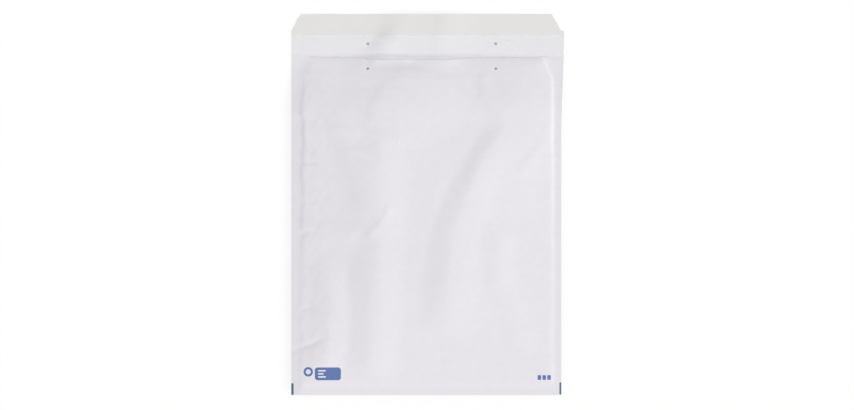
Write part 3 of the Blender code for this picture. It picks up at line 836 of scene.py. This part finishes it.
# The release strip. It is siliconed white paper, smooth as glassine, and keeps the glue clean until it is
# peeled off. It has clouds of 11 mm and a fine skin of 1.4 mm from the calender's rollers.
RELEASE = 0.00008
siliconed, tree, shader = new_material("siliconed_release_paper_calendered", Roughness=0.36, IOR=1.43)
place = add(tree, "TexCoord").outputs["Object"]
clouds = add(tree, "TexNoise", {"Vector": place, "Scale": 90.0, "Detail": 3.0, "Roughness": 0.5})
warm = add(tree, "Mix", {0: clouds.outputs[0], 6: linear("E0DEDD"), 7: linear("E5E3E2")}, data_type="RGBA")
tree.links.new(warm.outputs[2], shader.inputs["Base Color"])
calender = add(tree, "TexNoise", {"Vector": place, "Scale": 700.0, "Detail": 1.0})
skin = add(tree, "Bump", {"Strength": 0.2, "Distance": 0.0001, "Height": calender.outputs[0]})
tree.links.new(skin.outputs[0], shader.inputs["Normal"])

x, y = flap_grid(STRIP_LOW, TOP, 0.0, FLAP_STEP)
low = back_under(x, y) + PAPER + 2 * PRESSED + GLUE
points, quads, _ = slab(x, y, low, low + RELEASE)
piece("release_paper", points, quads.tolist(), siliconed, "release_strip")


# The floor. It is a plain white studio table that keeps the envelope's shadow. Under the envelope it is matt
# white. From 6 mm inside the outline, what the camera, gloss and clear film see of it turns four fifths pure
# white over 4 mm.
SHADOW_IN, SHADOW_RUN, WHITE_SHARE = 0.006, 0.004, 0.80
floor_white, tree, shader = new_material("white_studio_table_lacquered", Roughness=0.6)


def seen_white(tree):
    """1 for what the camera, gloss and clear film see, and 0 for the light that falls on things."""
    path = add(tree, "LightPath").outputs
    seen = either(tree, path["Is Camera Ray"], path["Is Glossy Ray"])
    return either(tree, seen, path["Is Transmission Ray"])


seen = seen_white(tree)
place = add(tree, "TexCoord").outputs["Object"]
off = add(tree, "VectorMath", {0: place}, operation="ABSOLUTE").outputs[0]
under = (WIDTH / 2 - SHADOW_IN, (TOP - BOTTOM) / 2 - SHADOW_IN, 0.0)
off = add(tree, "VectorMath", {0: off, 1: under}, operation="SUBTRACT").outputs[0]
off = add(tree, "VectorMath", {0: off, 1: (0.0, 0.0, 0.0)}, operation="MAXIMUM").outputs[0]
far = add(tree, "VectorMath", {0: off}, operation="LENGTH").outputs["Value"]
open_floor = add(tree, "MapRange", {0: far, 1: 0.0, 2: SHADOW_RUN, 3: 0.0, 4: WHITE_SHARE}).outputs[0]
share = add(tree, "Math", {0: seen, 1: open_floor}, operation="MULTIPLY").outputs[0]
matt = add(tree, "BsdfDiffuse", {"Color": linear("FFFFFF")})
plain = add(tree, "Emission", {"Color": (1.0, 1.0, 1.0, 1.0), "Strength": 1.0})
both = add(tree, "MixShader", {0: share, 1: matt.outputs[0], 2: plain.outputs[0]})
tree.links.new(both.outputs[0], tree.nodes["Material Output"].inputs["Surface"])
tree.nodes.remove(shader)
FLOOR_HALF, FLOOR_LEVEL = 8.0, -0.0001
floor_mesh = bpy.data.meshes.new("floor")
corners = np.array([(-1, -1), (1, -1), (1, 1), (-1, 1)]) * FLOOR_HALF
floor_mesh.from_pydata([(a, b, FLOOR_LEVEL) for a, b in corners.tolist()], [], [(0, 1, 2, 3)])
floor_mesh.materials.append(floor_white)
floor = bpy.data.objects.new("floor", floor_mesh)
bpy.context.scene.collection.objects.link(floor)


# The light. An even white room gives four fifths of it. A broad low lamp at the lower right gives the rest,
# and draws the folds: faces turned to it are a little brighter.
ROOM, LAMP_SHARE = 0.80, 0.20
LAMP_HEIGHT, LAMP_TURN, LAMP_BREADTH = np.radians(21.0), np.radians(-30.0), np.radians(28.0)
world = bpy.data.worlds.new("white_room")
bpy.context.scene.world = world
world.use_nodes = True
tree = world.node_tree
lighting = tree.nodes["Background"]
lighting.inputs["Color"].default_value = (1.0, 1.0, 1.0, 1.0)
lighting.inputs["Strength"].default_value = ROOM
backdrop = add(tree, "Background", {"Color": (1.0, 1.0, 1.0, 1.0), "Strength": 1.0})
mixed = add(tree, "MixShader", {0: seen_white(tree), 1: lighting.outputs[0], 2: backdrop.outputs[0]})
tree.links.new(mixed.outputs[0], tree.nodes["World Output"].inputs["Surface"])

lamp_data = bpy.data.lights.new("low_lamp", "SUN")
lamp_data.energy = LAMP_SHARE * np.pi / np.sin(LAMP_HEIGHT)
lamp_data.angle = LAMP_BREADTH
lamp = bpy.data.objects.new("low_lamp", lamp_data)
bpy.context.scene.collection.objects.link(lamp)
lamp.rotation_euler = (0.0, np.pi / 2 - LAMP_HEIGHT, LAMP_TURN)


# The camera. It looks straight down from three metres, on the photograph's frame of 854 pixels. The scale of
# 1.0725 mm a pixel holds halfway up the padding, and the envelope lies a little off the frame's middle.
PHOTO_WIDTH = 854 * 0.0010725
CAMERA_PLACE = (-0.0008, -0.00064, 3.0)
SCALE_HEIGHT = 0.008
camera_data = bpy.data.cameras.new("camera")
camera_data.sensor_width = 36.0
camera_data.lens = camera_data.sensor_width * (CAMERA_PLACE[2] - SCALE_HEIGHT) / PHOTO_WIDTH
camera = bpy.data.objects.new("camera", camera_data)
camera.location = CAMERA_PLACE
bpy.context.scene.collection.objects.link(camera)
bpy.context.scene.camera = camera
bpy.context.scene.view_settings.view_transform = "Standard"
